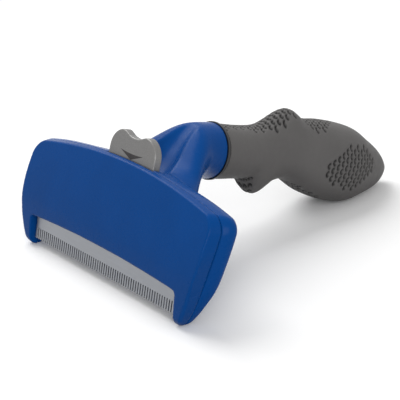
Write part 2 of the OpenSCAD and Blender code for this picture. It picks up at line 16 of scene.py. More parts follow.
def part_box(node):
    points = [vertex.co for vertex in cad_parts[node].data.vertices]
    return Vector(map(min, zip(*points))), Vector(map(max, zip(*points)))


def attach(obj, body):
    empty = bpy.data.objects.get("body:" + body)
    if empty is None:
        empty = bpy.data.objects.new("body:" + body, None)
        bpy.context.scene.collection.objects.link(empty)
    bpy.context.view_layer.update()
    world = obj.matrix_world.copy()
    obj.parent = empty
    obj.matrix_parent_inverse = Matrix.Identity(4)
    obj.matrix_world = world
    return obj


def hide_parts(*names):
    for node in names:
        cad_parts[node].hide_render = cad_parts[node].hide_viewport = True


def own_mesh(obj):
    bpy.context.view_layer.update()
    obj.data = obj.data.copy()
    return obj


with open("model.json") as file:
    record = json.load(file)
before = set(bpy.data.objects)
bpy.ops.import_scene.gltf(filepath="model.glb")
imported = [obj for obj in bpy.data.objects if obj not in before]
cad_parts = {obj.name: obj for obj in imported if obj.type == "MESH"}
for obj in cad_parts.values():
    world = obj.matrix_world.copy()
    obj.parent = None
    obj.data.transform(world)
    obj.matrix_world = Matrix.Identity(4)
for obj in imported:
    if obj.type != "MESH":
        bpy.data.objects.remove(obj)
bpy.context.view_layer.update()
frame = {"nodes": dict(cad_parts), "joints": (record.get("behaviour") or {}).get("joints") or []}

# ---------------------------------------------------------------- the tool's frame
MM = 0.001
slide = next(j for j in frame["joints"] if j["name"] == "ejector_slide")
LEAN = math.atan2(-slide["axis"][1], -slide["axis"][2])
TOOTH_TIP = 0.5
blade_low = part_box("blade")[0]
TO_ROW = (
    Matrix.Translation((0, blade_low.y, blade_low.z + TOOTH_TIP * MM * math.sin(LEAN)))
    @ Matrix.Rotation(-LEAN, 4, "X")
    @ Matrix.Scale(MM, 4)
)


def row_points(points):
    """Points of the tool's frame, in the row frame."""
    m = np.array(TO_ROW)
    return np.asarray(points, float) @ m[:3, :3].T + m[:3, 3]


def tool_box(node):
    """Lowest and highest corner of a CAD node in the tool's frame."""
    m = np.array(TO_ROW.inverted())
    co = np.array([v.co for v in frame["nodes"][node].data.vertices], float)
    co = co @ m[:3, :3].T + m[:3, 3]
    return co.min(0), co.max(0)


front_high = tool_box("front_shell")[1]
blade_box = tool_box("blade")
plate_box = tool_box("ejector_plate")
button_box = tool_box("ejector_button")
ring_box = tool_box("neck_ring")
grip_box = tool_box("grip")
spring_box = tool_box("return_spring_right")
pin_box = tool_box("guide_pin_right")
screw_box = tool_box("shell_screws")

HALF_W = front_high[0]
HEAD_H = front_high[2]
SEAM = front_high[1]
SEAM_GAP = 0.15
REAR_DEPTH = 7.8
REAR = SEAM + REAR_DEPTH
REAR_WALL = 2.0
FRONT_WALL = 1.8
SHELL_WALL = 1.5
CROWN = 6.0
CORNER_R = 6.0
ARCH_RUN = HALF_W - CORNER_R
ARCH_R = (ARCH_RUN**2 + CROWN**2) / (2 * CROWN)
NOSE_U, NOSE_V = -4.3, 14.0
FACE_SWEEP, FACE_HEIGHT = 2.4, 24
FRONT_RAKE, BACK_RAKE = math.radians(10.8), math.radians(15.5)
BULGE = 1.7
GUARD_U, GUARD_V, GUARD_R = 2.2, 0.9, 4.4
WINDOW_W, WINDOW_TOP, WINDOW_CROWN, WINDOW_R = 52.5, 10.2, 1.9, 2.0
REAR_FOOT = WINDOW_TOP - 2.4
CAVITY_FOOT = 13.0
RING_U = ring_box[0][1]
RING_V = (ring_box[0][2] + ring_box[1][2]) / 2
NECK_R = 12.4
SPIGOT_R, SPIGOT_L = 6.4, 14.2
FLANGE_R, FLANGE_T = 8.2, 3.0
BUTTON_HALF = 15.7
BUTTON_TOP = button_box[1][2]
BUTTON_GAP = 0.35
BUTTON_U = SEAM + BUTTON_GAP
BUTTON_T = 3.7
BUTTON_DIP = 1.9
STEM_HALF = 9
EAR_R, EAR_T = 2.6, 3
EAR_X = (pin_box[0][0] + pin_box[1][0]) / 2
PIN_U = (pin_box[0][1] + pin_box[1][1]) / 2
PIN_R, PIN_BORE_R = 1.0, 1.08
SPRING_ROOM = 0.05
LEDGE_TOP = spring_box[0][2] - SPRING_ROOM
EAR_FOOT = spring_box[1][2] + SPRING_ROOM
SCREWS = [(HALF_W - 7.4, 22.0), (HALF_W - 19.0, 33.0)]
BOSS_R, SCREW_SEAT_R, SCREW_HOLE_R = 2.9, 2.45, 1.2
BLADE_POSTS = [(15.24, 15.6), (42.16, 15.6)]
POST_R, POST_HOLE_R = 2.0, 1.05


# ---------------------------------------------------------------- distance fields
def round_max(a, b, r):
    """The larger of two distances, with their common edge rounded to radius r."""
    return np.minimum(-r, np.maximum(a, b)) + np.hypot(np.maximum(a + r, 0), np.maximum(b + r, 0))


def cut(a, b, r):
    """a with b taken away, with the new edge rounded to radius r."""
    return round_max(a, -b, r)


def blend_min(a, b, k):
    """The smaller of two distances, with a fillet of about k."""
    h = np.clip(0.5 + 0.5 * (b - a) / k, 0, 1)
    return b + (a - b) * h - k * h * (1 - h)


def ease(t):
    """A smooth step from 0 to 1."""
    t = np.clip(t, 0, 1)
    return t * t * (3 - 2 * t)


def slab(p, low, high):
    """Distance to the layer between two parallel planes."""
    return np.maximum(low - p, p - high)


def box_field(x, u, v, low, high, r=0.3):
    """Distance to a box whose edges are rounded to radius r."""
    d = round_max(slab(x, low[0], high[0]), slab(u, low[1], high[1]), r)
    return round_max(d, slab(v, low[2], high[2]), r)


def rods(x, v, places, r):
    """Distance to endless rods along the handle, at two places on each side of the middle."""
    near = [np.hypot(np.abs(x) - px, v - pv) for px, pv in places]
    return np.minimum(*near) - r


def curve(points, t):
    """A smooth curve through (place, size) points, with level ends."""
    p = np.array(points, float)
    slope = np.zeros(len(p))
    slope[1:-1] = (p[2:, 1] - p[:-2, 1]) / (p[2:, 0] - p[:-2, 0])
    i = np.clip(np.searchsorted(p[:, 0], t, side="right") - 1, 0, len(p) - 2)
    w = p[i + 1, 0] - p[i, 0]
    s = np.clip((t - p[i, 0]) / w, 0, 1)
    rise = 3 * s**2 - 2 * s**3
    return (
        p[i, 1] * (1 - rise)
        + p[i + 1, 1] * rise
        + w * slope[i] * (s**3 - 2 * s**2 + s)
        + w * slope[i + 1] * (s**3 - s**2)
    )


SIDE = [
    (-6.0, HALF_W - 10.6), (-1.5, HALF_W - 8.2), (3.0, HALF_W - 6.2), (10.0, HALF_W - 4.4),
    (21.0, HALF_W - 2.4), (30.0, HALF_W - 0.9), (38.0, HALF_W), (60.0, HALF_W + 0.4),
]


def side_half_width(v):
    """Half-width of the head at a height, at its seam."""
    return curve(SIDE, np.clip(v, -6, 60))


def arch(x, v):
    """Distance to the arched top edge of the head."""
    return np.hypot(x, v - HEAD_H + ARCH_R) - ARCH_R


def outline(x, v, side, top, corner_r):
    """The head's outline, let in by side at the sides and by top at the top."""
    d_side = np.abs(x) - side_half_width(v) + side
    d_top = arch(x, v) + top
    return round_max(d_side, d_top, corner_r)


def face_u(v):
    """Depth of the front face at a height: upright at first, then curving back."""
    return NOSE_U + FACE_SWEEP * (np.clip(v - NOSE_V, 0, 60) / FACE_HEIGHT) ** 2


def side_profile(u, v):
    """The skin guards' round feet and the two faces that rise from them, in side view."""
    qu, qv = u - GUARD_U, v - GUARD_V
    d_front = -qu * math.cos(FRONT_RAKE) - qv * math.sin(FRONT_RAKE)
    d_back = qu * math.cos(BACK_RAKE) - qv * math.sin(BACK_RAKE)
    along_front = -qu * math.sin(FRONT_RAKE) + qv * math.cos(FRONT_RAKE)
    along_back = qu * math.sin(BACK_RAKE) + qv * math.cos(BACK_RAKE)
    d = np.maximum(d_front, d_back)
    under_centre = np.where(d_front > d_back, along_front, along_back) < 0
    return np.where(under_centre, np.hypot(qu, qv), d) - GUARD_R


def under_ground(u, v):
    """Depth under the ground on which the guards' feet stand."""
    return u * math.sin(LEAN) - v * math.cos(LEAN) - TO_ROW.translation.z / MM


def head_field(x, u, v):
    """The whole outside of the head: bevelled in front, bulged behind, rounded at the back."""
    depth = np.clip((SEAM - u) / (SEAM - face_u(v)), 0, 1)
    behind = np.clip((u - SEAM) / (REAR - SEAM), 0, 1)
    bulge = BULGE * (1 - ((np.clip(u, SEAM, REAR) - 8.0) / 4.8) ** 2) * ease((v + 2) / 24)
    inset = 2.6 * ease((v - 18) / 24) - 0.4
    flare = 0.5 * ease(behind * 2) * ease((np.abs(x) - 30) / 25)
    top = 0.9 * depth + 0.5 * behind**2 - flare
    d = outline(x, v, inset * depth - bulge, top, CORNER_R - 1.0 * ease(behind * 2))
    slope = 2 * FACE_SWEEP / FACE_HEIGHT**2 * np.clip(v - NOSE_V, 0, 60)
    face = (face_u(v) - u) / np.sqrt(1 + slope**2)
    d = round_max(d, face, 0.5)
    d = round_max(d, u - REAR, 2.4)
    d = round_max(d, side_profile(u, v), 1.4)
    return np.maximum(d, under_ground(u, v))


def window_field(x, v, top, crown=0.0):
    """The window between the guards: its top edge rises by crown in its middle."""
    return round_max(np.abs(x) - WINDOW_W, v - top - crown * (1 - (x / WINDOW_W) ** 2), WINDOW_R)


def button_outline(x, v):
    """The button seen from in front: two lobes with a dip between them."""
    w = 2 * BUTTON_HALF
    lobe_r = 0.27 * w
    lobe_x = 0.23 * w
    lobes = np.hypot(np.abs(x) - lobe_x, v - BUTTON_TOP + lobe_r) - lobe_r
    stem = np.maximum(slab(x, -BUTTON_HALF, BUTTON_HALF), v - BUTTON_TOP + lobe_r)
    middle = np.maximum(np.abs(x) - lobe_x, v - BUTTON_TOP + 0.8)
    d = np.minimum(np.minimum(lobes, stem), middle)
    dip = np.hypot(x, v - BUTTON_TOP + BUTTON_DIP - 0.3 * w) - 0.3 * w
    d = cut(d, dip, 2.0)
    return np.maximum(d, HEAD_H - 8 - v)


def front_field(x, u, v):
    """The front shell: hollow, with four screw bosses and the blade's window."""
    d = round_max(head_field(x, u, v), u - SEAM + SEAM_GAP, 0.4)
    roof = arch(x, v) + 3.0
    hollow = round_max(face_u(v) + FRONT_WALL - u, roof, 1.0)
    hollow = round_max(hollow, np.abs(x) - side_half_width(v) + 6.0, 2.0)
    hollow = np.maximum(hollow, CAVITY_FOOT - v)
    recess = np.maximum(np.abs(x) - plate_box[1][0] - 0.6, blade_box[0][1] - 0.2 - u)
    hollow = np.minimum(hollow, np.maximum(recess, v - CAVITY_FOOT - 2))
    d = cut(d, hollow, 0.3)
    bosses = np.maximum(rods(x, v, SCREWS, BOSS_R), slab(u, -9, SEAM))
    d = np.minimum(d, np.maximum(bosses, head_field(x, u, v) + 0.5))
    return cut(d, window_field(x, v, WINDOW_TOP, WINDOW_CROWN), 0.35)


# The neck's half-width, top and foot, from the head to the ring
NECK_START, NECK_END = 7.0, 46.0
NECK_HALF_W = [
    (7.0, 40.0), (11.0, 37.0), (15.0, 32.8), (20.0, 27.4), (25.0, 22.0),
    (30.0, 17.6), (35.0, 14.4), (40.0, 12.9), (46.0, NECK_R),
]
NECK_TOP = [
    (7.0, 47.8), (11.0, 49.2), (15.0, 51.0), (20.8, 55.0), (25.3, 60.4),
    (30.0, 65.2), (34.0, 67.5), (40.0, 68.5), (46.0, RING_V + NECK_R),
]
NECK_FOOT = [
    (7.0, 22.0), (11.0, 25.5), (15.0, 28.5), (20.8, 32.3), (25.3, 35.8),
    (30.0, 39.2), (34.0, 41.8), (40.0, 43.6), (46.0, RING_V - NECK_R),
]
# The scoop between the neck's two ribs: its floor, and the ribs' places and rise over the floor
SCOOP_FLOOR = [
    (6.0, 38.5), (10.0, 39.3), (15.0, 42.0), (20.8, 47.2),
    (25.3, 54.4), (30.0, 61.8), (36.0, 68.6), (46.0, 75.0),
]
SCOOP_RIB_X = [
    (6.0, 18.0), (10.0, 16.4), (15.0, 13.8), (20.8, 10.3), (25.3, 7.4), (30.0, 5.0), (46.0, 3.0),
]
SCOOP_DEPTH = [
    (6.0, 8.2), (10.0, 8.2), (15.0, 8.0), (20.8, 7.0), (25.3, 5.4), (30.0, 2.9), (46.0, 1.0),
]


def slope_of(points, u):
    """Slope of a curve at a place."""
    return (curve(points, u + 0.1) - curve(points, u - 0.1)) / 0.2


def scoop_field(x, u, v):
    """Height over the floor of the scoop between the neck's two ribs."""
    s = np.clip(u, NECK_START, NECK_END)
    k = curve(SCOOP_DEPTH, s) / curve(SCOOP_RIB_X, s) ** 3
    near = np.clip(np.abs(x), 0, 25)
    steep = np.sqrt(1 + (3 * k * near**2) ** 2 + slope_of(SCOOP_FLOOR, s) ** 2)
    return (v - curve(SCOOP_FLOOR, s) - k * near**3) / steep


def neck_field(x, u, v):
    """The neck: oval sections that narrow towards the ring, with a scoop between two ribs."""
    s = np.clip(u, NECK_START, NECK_END)
    w = curve(NECK_HALF_W, s)
    top, foot = curve(NECK_TOP, s), curve(NECK_FOOT, s)
    c, h = (top + foot) / 2, (top - foot) / 2
    dc = (slope_of(NECK_TOP, s) + slope_of(NECK_FOOT, s)) / 2
    dh = (slope_of(NECK_TOP, s) - slope_of(NECK_FOOT, s)) / 2
    dw = slope_of(NECK_HALF_W, s)
    a, b = x / w, (v - c) / h
    rho = np.maximum(np.hypot(a, b), 1e-3)
    gx, gv = a / w / rho, b / h / rho
    gu = -(a * a * dw / w + b * dc / h + b * b * dh / h) / rho
    tube = (rho - 1) / np.sqrt(gx**2 + gv**2 + gu**2 + 1e-9)
    d = round_max(tube, scoop_field(x, u, v), 1.1)
    d = np.maximum(d, 7.5 - u)
    return round_max(d, u - RING_U, 0.4)


def rear_field(x, u, v):
    """The rear shell with its neck: hollow under the head, with the button's mouth and the screws' seats."""
    d = round_max(head_field(x, u, v), SEAM - u, 0.4)
    button_back = BUTTON_U + BUTTON_T
    scoop_start = round_max(np.abs(x) - 20.0, button_back - u, 1.0)
    d = cut(d, round_max(scoop_start, -scoop_field(x, u, v), 0.5), 0.8)
    d = blend_min(d, neck_field(x, u, v), 4.0)
    d = np.maximum(d, SEAM - u)
    taper = np.clip((u - SEAM) / (REAR - REAR_WALL - SEAM), 0, 1)
    roof = arch(x, v) + 4 + 3 * taper
    roof = np.maximum(roof, CAVITY_FOOT + 2 * taper - v)
    hollow = round_max(np.abs(x) - side_half_width(v) + 5 + 5 * taper, roof, 1.0)
    hollow = np.maximum(hollow, u - REAR + REAR_WALL)
    mouth = round_max(np.abs(x) - BUTTON_HALF - BUTTON_GAP, slab(u, -9, button_back + BUTTON_GAP), 0.4)
    mouth = np.maximum(mouth, HEAD_H - CROWN - 6 - v)
    d = cut(d, np.maximum(hollow, d + SHELL_WALL), 0.4)
    d = cut(d, mouth, 0.5)
    d = cut(d, window_field(x, v, REAR_FOOT), 0.5)
    seat = screw_box[1][1] - 1.4
    bosses = np.maximum(rods(x, v, SCREWS, BOSS_R), slab(u, SEAM, REAR - 0.2))
    d = np.minimum(d, bosses)
    d = cut(d, np.maximum(rods(x, v, SCREWS, SCREW_SEAT_R), seat - u), 0.25)
    d = cut(d, rods(x, v, SCREWS, SCREW_HOLE_R), 0.1)
    return np.minimum(d, inside_field(x, u, v))


def inside_field(x, u, v):
    """What the rear shell carries inside: the blade's posts, the pins' ledges and the spigot."""
    ax = np.abs(x)
    inner_end = REAR - 1.4
    d = np.maximum(rods(x, v, BLADE_POSTS, POST_R), slab(u, blade_box[1][1], inner_end))
    d = cut(d, np.maximum(rods(x, v, BLADE_POSTS, POST_HOLE_R), u - 7), 0.1)
    for low, high in ((LEDGE_TOP - 3.5, LEDGE_TOP), (EAR_FOOT + 3.3, EAR_FOOT + 6.7)):
        d = np.minimum(d, box_field(ax, u, v, (EAR_X - 3, BUTTON_U, low), (EAR_X + 3, inner_end, high)))
    d = cut(d, np.hypot(ax - EAR_X, u - PIN_U) - PIN_R, 0.1)
    from_axis = np.hypot(x, v - RING_V)
    spigot_end = RING_U + SPIGOT_L
    spigot = np.maximum(from_axis - SPIGOT_R, slab(u, RING_U - 1, spigot_end))
    flange = np.maximum(from_axis - FLANGE_R, slab(u, spigot_end - FLANGE_T, spigot_end))
    return np.minimum(d, np.minimum(spigot, flange))


def button_field(x, u, v):
    """The button with its flat face and crisp rim, its stem and its ears."""
    ax = np.abs(x)
    rim = button_outline(x, v)
    chamfer = (rim + BUTTON_U - u + 0.4) * math.sqrt(0.5)
    d = round_max(rim, slab(u, BUTTON_U, BUTTON_U + BUTTON_T), 0.2)
    d = np.maximum(d, chamfer)
    back = BUTTON_U + BUTTON_T
    ear_top = EAR_FOOT + EAR_T
    ear_end = EAR_X + EAR_R
    for low, high in (
        ((-STEM_HALF, BUTTON_U, EAR_FOOT), (STEM_HALF, back, HEAD_H - 6)),
        ((-STEM_HALF, plate_box[1][1], button_box[0][2]), (STEM_HALF, back, EAR_FOOT + 0.5)),
        ((-ear_end, BUTTON_U, EAR_FOOT), (ear_end, back, ear_top)),
    ):
        d = np.minimum(d, box_field(x, u, v, low, high, 0.2))
    from_pin = np.hypot(ax - EAR_X, u - PIN_U)
    d = np.minimum(d, np.maximum(from_pin - EAR_R, slab(v, EAR_FOOT, ear_top)))
    return cut(d, from_pin - PIN_BORE_R, 0.1)


# ---------------------------------------------------------------- meshes
def sample(field, low, cell, counts, block=8):
    """Field values on a grid. Blocks that the surface can't reach take their centre's value."""
    blocks = [-(-c // block) for c in counts]
    centre = [low[i] + cell * block * (np.arange(blocks[i]) + 0.5) for i in range(3)]
    grid = np.meshgrid(*centre, indexing="ij")
    middle = field(*[g.ravel() for g in grid]).reshape(blocks)
    near = np.abs(middle) < block * cell * 1.45

    def spread(a):
        for axis in range(3):
            a = np.repeat(a, block, axis)
        return a[: counts[0], : counts[1], : counts[2]]

    values = spread(middle).astype(float)
    at = np.nonzero(spread(near))
    values[at] = field(*[low[i] + cell * at[i] for i in range(3)])
    return values


CORNERS = np.array([(i, j, k) for i in (0, 1) for j in (0, 1) for k in (0, 1)])
SMOOTH_TURNS = 2


def surface(field, low, high, cell):
    """The field's zero surface as vertices and quads."""
    low = np.array(low, float)
    counts = np.ceil((np.array(high, float) - low) / cell).astype(int) + 1
    values = sample(field, low, cell, counts)
    inside = values < 0
    size = counts - 1
    total = np.zeros(size, np.int8)
    for c in CORNERS:
        total += inside[c[0] : c[0] + size[0], c[1] : c[1] + size[1], c[2] : c[2] + size[2]]
    active = (total > 0) & (total < 8)
    index = np.full(size, -1)
    cells = np.argwhere(active)
    index[active] = np.arange(len(cells))
    place = np.zeros((len(cells), 3))
    crossings = np.zeros(len(cells))
    for a in CORNERS:
        for axis in range(3):
            if a[axis]:
                continue
            b = a.copy()
            b[axis] = 1
            va = values[tuple((cells + a).T)]
            vb = values[tuple((cells + b).T)]
            crossed = (va < 0) != (vb < 0)
            t = np.where(crossed, va / np.where(crossed, va - vb, 1), 0)
            place += np.where(crossed[:, None], a + t[:, None] * (b - a), 0)
            crossings += crossed
    verts = low + cell * (cells + place / crossings[:, None])
    quads = []
    for axis in range(3):
        other = [(axis + 1) % 3, (axis + 2) % 3]
        first = [slice(1, -1)] * 3
        second = [slice(1, -1)] * 3
        first[axis] = slice(0, -1)
        second[axis] = slice(1, None)
        a, b = inside[tuple(first)], inside[tuple(second)]
        start = np.array([1, 1, 1])
        start[axis] = 0
        for turned in (False, True):
            edge = np.argwhere((b & ~a) if turned else (a & ~b)) + start
            around = []
            for du, dv in ((-1, -1), (0, -1), (0, 0), (-1, 0)):
                step = np.zeros(3, int)
                step[other[0]], step[other[1]] = du, dv
                around.append(index[tuple((edge + step).T)])
            quad = np.stack(around, 1)
            quads.append(quad[:, ::-1] if turned else quad)
    quads = np.concatenate(quads)
    links = np.concatenate([quads[:, [i, (i + 1) % 4]] for i in range(4)])
    start, end = links.T
    for turn in range(SMOOTH_TURNS + 1):
        for _ in range(3):
            verts = to_surface(field, verts, cell)
        if turn < SMOOTH_TURNS:
            sums = np.stack([np.bincount(start, verts[end, i], len(verts)) for i in range(3)], 1)
            count = np.bincount(start, minlength=len(verts))[:, None]
            verts = 0.5 * verts + 0.5 * sums / np.maximum(count, 1)
    return verts, quads


def to_surface(field, p, cell, h=0.02):
    """One step that moves points onto the field's zero surface."""
    x, u, v = p.T
    d = field(x, u, v)
    g = np.stack(
        [
            field(x + h, u, v) - field(x - h, u, v),
            field(x, u + h, v) - field(x, u - h, v),
            field(x, u, v + h) - field(x, u, v - h),
        ],
        1,
    ) / (2 * h)
    step = d[:, None] * g / np.maximum((g * g).sum(1), 0.2)[:, None]
    length = np.maximum(np.linalg.norm(step, axis=1), 1e-9)
    return p - step * np.minimum(1, 0.5 * cell / length)[:, None]


def add_smooth(name, mesh):
    """A smooth-shaded object of a mesh, put into the scene."""
    mesh.polygons.foreach_set("use_smooth", np.full(len(mesh.polygons), True))
    obj = bpy.data.objects.new(name, mesh)
    bpy.context.scene.collection.objects.link(obj)
    return obj


def from_quads(name, points, faces):
    """An object in the row frame, from points of the tool's frame and many quads."""
    points = row_points(points)
    faces = np.asarray(faces)
    mesh = bpy.data.meshes.new(name)
    mesh.vertices.add(len(points))
    mesh.vertices.foreach_set("co", points.astype(np.float32).ravel())
    mesh.loops.add(faces.size)
    mesh.loops.foreach_set("vertex_index", faces.astype(np.int32).ravel())
    mesh.polygons.add(len(faces))
    mesh.polygons.foreach_set("loop_start", np.arange(0, faces.size, faces.shape[1], dtype=np.int32))
    mesh.update(calc_edges=True)
    mesh.validate()
    return add_smooth(name, mesh)


def from_faces(name, points, faces):
    """An object in the row frame, from points of the tool's frame and faces of any size."""
    mesh = bpy.data.meshes.new(name)
    mesh.from_pydata(row_points(points).tolist(), [], faces)
    return add_smooth(name, mesh)


def tube_walls(count, sides):
    """Quads that join each ring of a row of rings to the next."""
    k = np.arange(sides)
    n = (k + 1) % sides
    starts = range(0, (count - 1) * sides, sides)
    return np.concatenate([np.stack([i + k, i + n, i + sides + n, i + sides + k], 1) for i in starts])


# ---------------------------------------------------------------- the grip
GRIP_U = grip_box[0][1]
GRIP_L = grip_box[1][1] - GRIP_U
GRIP_HALF = 12.4
PALM = 19.0
PALM_W = 17.0
THUMB = 22.4
FINGER = 17.9
WAIST = 10.2
PALM_AT = 70.0
END_L = 14.0
TIP_DROP = 2.0
THUMB_LINE = [
    (0, GRIP_HALF), (16, GRIP_HALF + 0.2), (26, THUMB - 8), (39.5, THUMB), (50, PALM - 0.2), (62, PALM),
    (PALM_AT, PALM - 0.4), (84, PALM - 2.2), (95, PALM - 6.3), (GRIP_L, PALM / 3),
]
FINGER_LINE = [
    (0, GRIP_HALF), (15.5, GRIP_HALF - 0.9), (20.3, GRIP_HALF - 0.6), (24.3, FINGER - 0.9), (28.6, FINGER),
    (34.9, WAIST + 2), (43, WAIST), (60, PALM - 2.4), (PALM_AT + 2, PALM - 0.2), (83, PALM - 0.6),
    (95, PALM - 5), (GRIP_L, PALM / 3),
]
SIDE_LINE = [
    (0, GRIP_HALF), (16, GRIP_HALF - 0.2), (31, GRIP_HALF - 1), (42, GRIP_HALF), (54, PALM_W - 2.6),
    (PALM_AT - 3, PALM_W), (80, PALM_W), (92, PALM_W - 3), (103, PALM_W - 6.5), (GRIP_L, PALM_W - 10),
]


def grip_surface(d, angle):
    """Points of the smooth grip at distances behind the ring and angles round the handle."""
    t = np.clip((d - GRIP_L + END_L) / END_L, 0, 1)
    closing = np.sqrt(1 - t * t)
    c, s = np.cos(angle), np.sin(angle)
    n = np.where(s > 0, 2.0, 2.0 + 0.6 * ease((d - 35) / 25))
    high = np.where(s > 0, curve(THUMB_LINE, d), curve(FINGER_LINE, d)) * closing
    wide = curve(SIDE_LINE, d) * closing
    drop = TIP_DROP * np.clip((d - PALM_AT) / (GRIP_L - PALM_AT), 0, 1) ** 2
    x = wide * np.sign(c) * np.abs(c) ** (2 / n)
    v = RING_V - drop + high * np.sign(s) * np.abs(s) ** (2 / n)
    return np.stack([x, GRIP_U + d, v], -1)


# The stiff cores' radius along the grip, which is the radius of its bore
BORE_LINE = [
    (0.0, 10.05), (24.0, 10.05), (38.0, 8.05), (50.0, 8.05),
    (66.0, 12.05), (88.0, 12.05), (94.0, 6.05), (100.0, 4.0),
]
MOUTH_CHAMFER = 0.7
STRIP_LINE = [(0, 5.6), (12, 4.6), (22, 5.6), (29, 6.8), (36.6, 7.8), (42.5, 4.9), (46, 0.5)]
SIDE_PATCH = [(56.4, -0.5), (71.0, 11.3), (85.0, 10.5), (95.0, 1.5), (79.5, -10.2), (67.6, -9.7)]


def in_strip(x, d):
    """Distance inside the thumb's strip: it is narrow along the neck and widens on the bump."""
    return np.minimum(curve(STRIP_LINE, np.clip(d, 0, 46)) - np.abs(x), np.minimum(d - 1.0, 43.5 - d))


def in_leaf(at, half_w, half_l):
    """A function that gives the distance inside a leaf-shaped patch whose middle is at a distance along."""
    return lambda x, d: half_w * (1 - np.hypot(np.abs(x / half_w) ** 0.9, (d - at) / half_l))


def in_side_patch(v, d):
    """Distance inside the six-sided patch on the palm's side."""
    inside = np.full(np.shape(d), np.inf)
    for (d0, v0), (d1, v1) in zip(SIDE_PATCH, SIDE_PATCH[1:] + SIDE_PATCH[:1]):
        away = (v0 - v) * (d1 - d0) - (d0 - d) * (v1 - v0)
        inside = np.minimum(inside, away / math.hypot(d1 - d0, v1 - v0))
    return inside


def scales(a, b, cell, inside):
    """Depth, from 0 to 1, of C-shaped grooves in rows across b, at the places that lie inside a patch."""
    best = np.zeros(np.shape(a))
    row_h = cell * 0.67
    row = np.round(b / row_h)
    for k in (-1, 0, 1):
        shift = np.where(np.mod(row + k, 2) == 0, 0.0, cell / 2)
        centre_a = np.round((a - shift) / cell) * cell + shift
        centre_b = (row + k) * row_h
        q = np.hypot(a - centre_a, b - centre_b)
        arc = np.exp(-(((q - cell * 0.36) / (cell * 0.15)) ** 2))
        closed_side = ease(((centre_b - b) / np.maximum(q, 0.01) - 0.1) / 0.4)
        best = np.maximum(best, arc * closed_side * (inside(centre_a, centre_b) > 0.3))
    return best


def grip_texture(d, angle, p):
    """The patches' shallow beds and, from 0 to 1, the depth of their grooves."""
    x, v = p[..., 0], p[..., 2] - RING_V
    thumb_side, finger_side = (angle > 0) & (v > 0), v < -3
    bed = np.zeros(np.shape(d))
    groove = np.zeros(np.shape(d))
    for here, inside, a, cell in (
        (thumb_side, in_strip, x, 3.3),
        (finger_side, in_leaf(22.5, 7.5, 6.0), x, 3.2),
        (thumb_side, in_leaf(58.0, 9.0, 13.0), x, 3.3),
        (finger_side, in_leaf(60.0, 9.0, 16.0), x, 3.3),
        (np.abs(x) > 4, in_side_patch, v, 3.8),
    ):
        bed = bed + np.where(here, ease(inside(a, d) / 1.5), 0)
        groove = groove + np.where(here, scales(a, d, cell, inside), 0)
    return bed, groove


BED_DEPTH, GROOVE_DEPTH = 0.15, 0.85


def make_grip():
    """The rubber grip: its grooved skin outside, and the bore that holds the cores."""
    fine = 2
    rings, sides = 420 * fine, 240 * fine
    step = np.linspace(0, 1, rings + 1)[:-1]
    d = GRIP_L * np.sin(0.5 * np.pi * step**0.85)
    angle = np.linspace(-np.pi, np.pi, sides, endpoint=False)
    dd, aa = np.meshgrid(d, angle, indexing="ij")
    p = grip_surface(dd, aa)
    du = np.gradient(p, axis=0)
    da = np.roll(p, -1, 1) - np.roll(p, 1, 1)
    normal = np.cross(du, da)
    normal /= np.maximum(np.linalg.norm(normal, axis=2, keepdims=True), 1e-9)
    outward = np.sign((normal * (p - [0, 0, RING_V]) * [1, 0, 1]).sum(2, keepdims=True))
    normal *= np.where(outward == 0, 1, outward)
    bed, groove = grip_texture(dd, aa, p)
    p = p - normal * (BED_DEPTH * bed + GROOVE_DEPTH * groove)[..., None]
    mouth_r = GRIP_HALF - MOUTH_CHAMFER
    lip = p[0].copy()
    lip[:, 0] *= mouth_r / GRIP_HALF
    lip[:, 2] = RING_V + (lip[:, 2] - RING_V) * mouth_r / GRIP_HALF
    p[0, :, 1] += MOUTH_CHAMFER
    bore = [
        np.stack([r * np.cos(angle), np.full(sides, GRIP_U + at), RING_V + r * np.sin(angle)], 1)
        for at, r in BORE_LINE
    ]
    loops = bore[::-1] + [lip] + list(p)
    ends = [[[0, grip_box[1][1], RING_V - TIP_DROP]], [[0, GRIP_U + BORE_LINE[-1][0], RING_V]]]
    points = np.concatenate(loops + ends)
    count = len(loops)
    k = np.arange(sides)
    n = (k + 1) % sides
    last = (count - 1) * sides
    tip, root = count * sides, count * sides + 1
    faces = [tuple(f) for f in tube_walls(count, sides)]
    faces += [(last + a, last + b, tip) for a, b in zip(k, n)]
    faces += [(b, a, root) for a, b in zip(k, n)]
    obj = from_faces("grip_rubber", points, faces)
    # Each point's groove depth. The rubber's material turns it into painted shade in the grooves.
    plain = np.zeros((len(bore) + 1) * sides)
    depth = np.concatenate([plain, groove.ravel(), [0, 0]]).astype(np.float32)
    obj.data.attributes.new("groove", "FLOAT", "POINT").data.foreach_set("value", depth)
    obj.data.update()
    return obj


